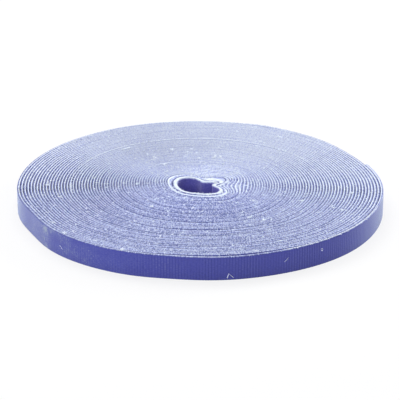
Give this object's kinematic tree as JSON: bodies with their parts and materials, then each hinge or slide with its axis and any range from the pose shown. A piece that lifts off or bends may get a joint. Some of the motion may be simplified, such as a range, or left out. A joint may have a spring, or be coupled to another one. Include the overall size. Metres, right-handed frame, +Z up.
{
  "type": "hook and loop tape roll",
  "caption": "Flat coreless roll of narrow back-to-back hook and loop tape, wound in a close spiral round a kinked eye, with a free outer end that peels off.",
  "frame": {"origin": "winding axis of the roll, level with the lower tape edges on which it lies", "axes": "+Z up along the winding axis, +X to the right and +Y away from the viewer in the picture; the outer end of the tape lies near +X"},
  "size_m": [0.2492, 0.2486, 0.016],
  "materials": {
    "hook_ply": "blue-violet woven hook ply with fine cross ribs",
    "loop_ply": "brushed loop ply with pale fuzzy edges",
    "wound_tape": "edges of the wound two-ply tape, lavender with pale fuzz"
  },
  "bodies": {
    "roll": {"core_wrap_loop_ply": "loop_ply", "core_wrap_hook_ply": "hook_ply", "inner_turns": "wound_tape", "middle_turns": "wound_tape", "outer_turns": "wound_tape", "outer_wrap_loop_ply": "loop_ply", "outer_wrap_hook_ply": "hook_ply"},
    "tail_1": {"tail_1_loop_ply": "loop_ply", "tail_1_hook_ply": "hook_ply"},
    "tail_2": {"tail_2_loop_ply": "loop_ply", "tail_2_hook_ply": "hook_ply"},
    "tail_3": {"tail_3_loop_ply": "loop_ply", "tail_3_hook_ply": "hook_ply"},
    "tail_4": {"tail_4_loop_ply": "loop_ply", "tail_4_hook_ply": "hook_ply"}
  },
  "joints": [
    {"name": "tail_peel", "type": "hinge", "parent": "roll", "child": "tail_1", "pos_m": [0.12279, -0.02566, 0], "axis": [0, 0, -1], "range_deg": [0, 25]},
    {"name": "tail_bend_2", "type": "hinge", "parent": "tail_1", "child": "tail_2", "pos_m": [0.1248, -0.0095, 0], "axis": [0, 0, -1], "range_deg": [0, 25]},
    {"name": "tail_bend_3", "type": "hinge", "parent": "tail_2", "child": "tail_3", "pos_m": [0.12451, 0.00674, 0], "axis": [0, 0, -1], "range_deg": [0, 25]},
    {"name": "tail_bend_4", "type": "hinge", "parent": "tail_3", "child": "tail_4", "pos_m": [0.12182, 0.02268, 0], "axis": [0, 0, -1], "range_deg": [0, 25]}
  ],
  "couplings": [
    {"joint": "tail_bend_2", "follows": "tail_peel", "ratio": 1},
    {"joint": "tail_bend_3", "follows": "tail_peel", "ratio": 1},
    {"joint": "tail_bend_4", "follows": "tail_peel", "ratio": 1}
  ]
}
